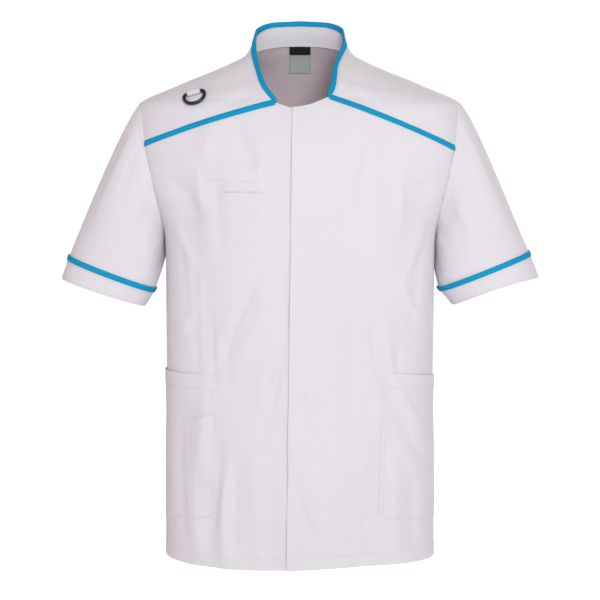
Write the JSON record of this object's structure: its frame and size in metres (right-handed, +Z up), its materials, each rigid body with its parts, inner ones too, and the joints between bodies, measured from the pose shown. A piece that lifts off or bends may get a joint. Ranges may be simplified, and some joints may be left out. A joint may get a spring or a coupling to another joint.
{
  "type": "medical tunic",
  "caption": "Short-sleeved white healthcare tunic, filled out as worn, with a stand collar, lapped front, yokes, patch pockets, blue trims and a watch ring on a shoulder tab.",
  "frame": {"origin": "midway between the two points where the shoulders meet the neck, where the wearer's shoulders hold it", "axes": "+Z up, -Y the way the wearer faces, +X to the wearer's left"},
  "size_m": [0.731, 0.2539, 0.8296],
  "materials": {
    "white_poplin": "smooth white poly-cotton cloth",
    "blue_trim": "bright blue woven tape",
    "black_label": "black woven label, bare",
    "grey_label": "grey woven care label, bare",
    "black_plastic": "moulded black plastic"
  },
  "bodies": {
    "tunic": {"front_right": "white_poplin", "front_left": "white_poplin", "back": "white_poplin", "yoke_right": "white_poplin", "yoke_left": "white_poplin", "sleeve_right": "white_poplin", "sleeve_left": "white_poplin", "cuff_right": "white_poplin", "cuff_left": "white_poplin", "collar": "white_poplin", "chest_pocket": "white_poplin", "chest_pocket_band": "white_poplin", "hip_pocket_right": "white_poplin", "hip_pocket_left": "white_poplin", "pen_pocket": "white_poplin", "ring_tab": "white_poplin", "collar_trim": "blue_trim", "yoke_trim_right": "blue_trim", "yoke_trim_left": "blue_trim", "cuff_trim_right": "blue_trim", "cuff_trim_left": "blue_trim", "neck_label_upper": "black_label", "neck_label_lower": "grey_label"},
    "watch_ring": {"watch_ring": "black_plastic"}
  },
  "joints": [
    {"name": "watch_ring_swing", "type": "hinge", "parent": "tunic", "child": "watch_ring", "pos_m": [-0.1582, -0.06625, -0.0583], "axis": [-0.9631, 0.0727, -0.259], "range_deg": [0, 120]}
  ]
}
